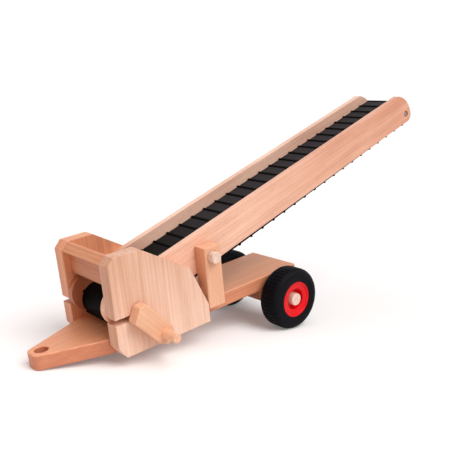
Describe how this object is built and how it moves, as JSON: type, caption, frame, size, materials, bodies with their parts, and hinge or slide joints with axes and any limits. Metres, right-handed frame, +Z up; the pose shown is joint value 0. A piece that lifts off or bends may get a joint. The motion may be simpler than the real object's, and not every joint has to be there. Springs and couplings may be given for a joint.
{
  "type": "toy belt conveyor",
  "caption": "Wooden toy belt conveyor trailer: hand-cranked cleated belt between long sloping rails, small hopper, two wheels and a drawbar tongue.",
  "frame": {"origin": "centre of the hitch hole in the drawbar tongue, halfway through the board", "axes": "+X forwards from the wheels to the drawbar's tip, +Y to the left side, which has the crank, +Z up from the floor"},
  "size_m": [0.3799, 0.1077, 0.1904],
  "materials": {
    "beech_panel": "satin",
    "beech_rail": "satin",
    "beech_orange": "satin",
    "beech_dark": "satin",
    "dowel": "satin",
    "tyre_rubber": "matte",
    "belt_rubber": "satin",
    "red_plastic": "gloss",
    "steel": "satin"
  },
  "bodies": {
    "trailer": {"base_board": "beech_orange", "axle_block": "beech_dark", "side_panel_left": "beech_panel", "side_panel_right": "beech_panel", "hopper_board": "beech_orange", "post_left": "beech_orange", "post_right": "beech_orange", "boom_peg": "dowel", "rail_left": "beech_rail", "rail_right": "beech_rail", "slide_board": "beech_rail", "belt": "belt_rubber", "head_roller": "dowel", "head_pin": "steel"},
    "wheelset": {"wheel_axle": "dowel", "wheel_tyre_left": "tyre_rubber", "wheel_tyre_right": "tyre_rubber", "wheel_rim_left": "red_plastic", "wheel_rim_right": "red_plastic"},
    "crank": {"crank_shaft": "steel", "crank_arm": "beech_orange", "crank_handle": "dowel", "drive_roller": "dowel"}
  },
  "joints": [
    {"name": "wheel_spin", "type": "hinge", "parent": "trailer", "child": "wheelset", "pos_m": [-0.19637, 0, 0.01821], "axis": [0, 1, 0], "continuous": true},
    {"name": "crank_turn", "type": "hinge", "parent": "trailer", "child": "crank", "pos_m": [-0.05196, 0, 0.02912], "axis": [0, 1, 0], "continuous": true}
  ]
}
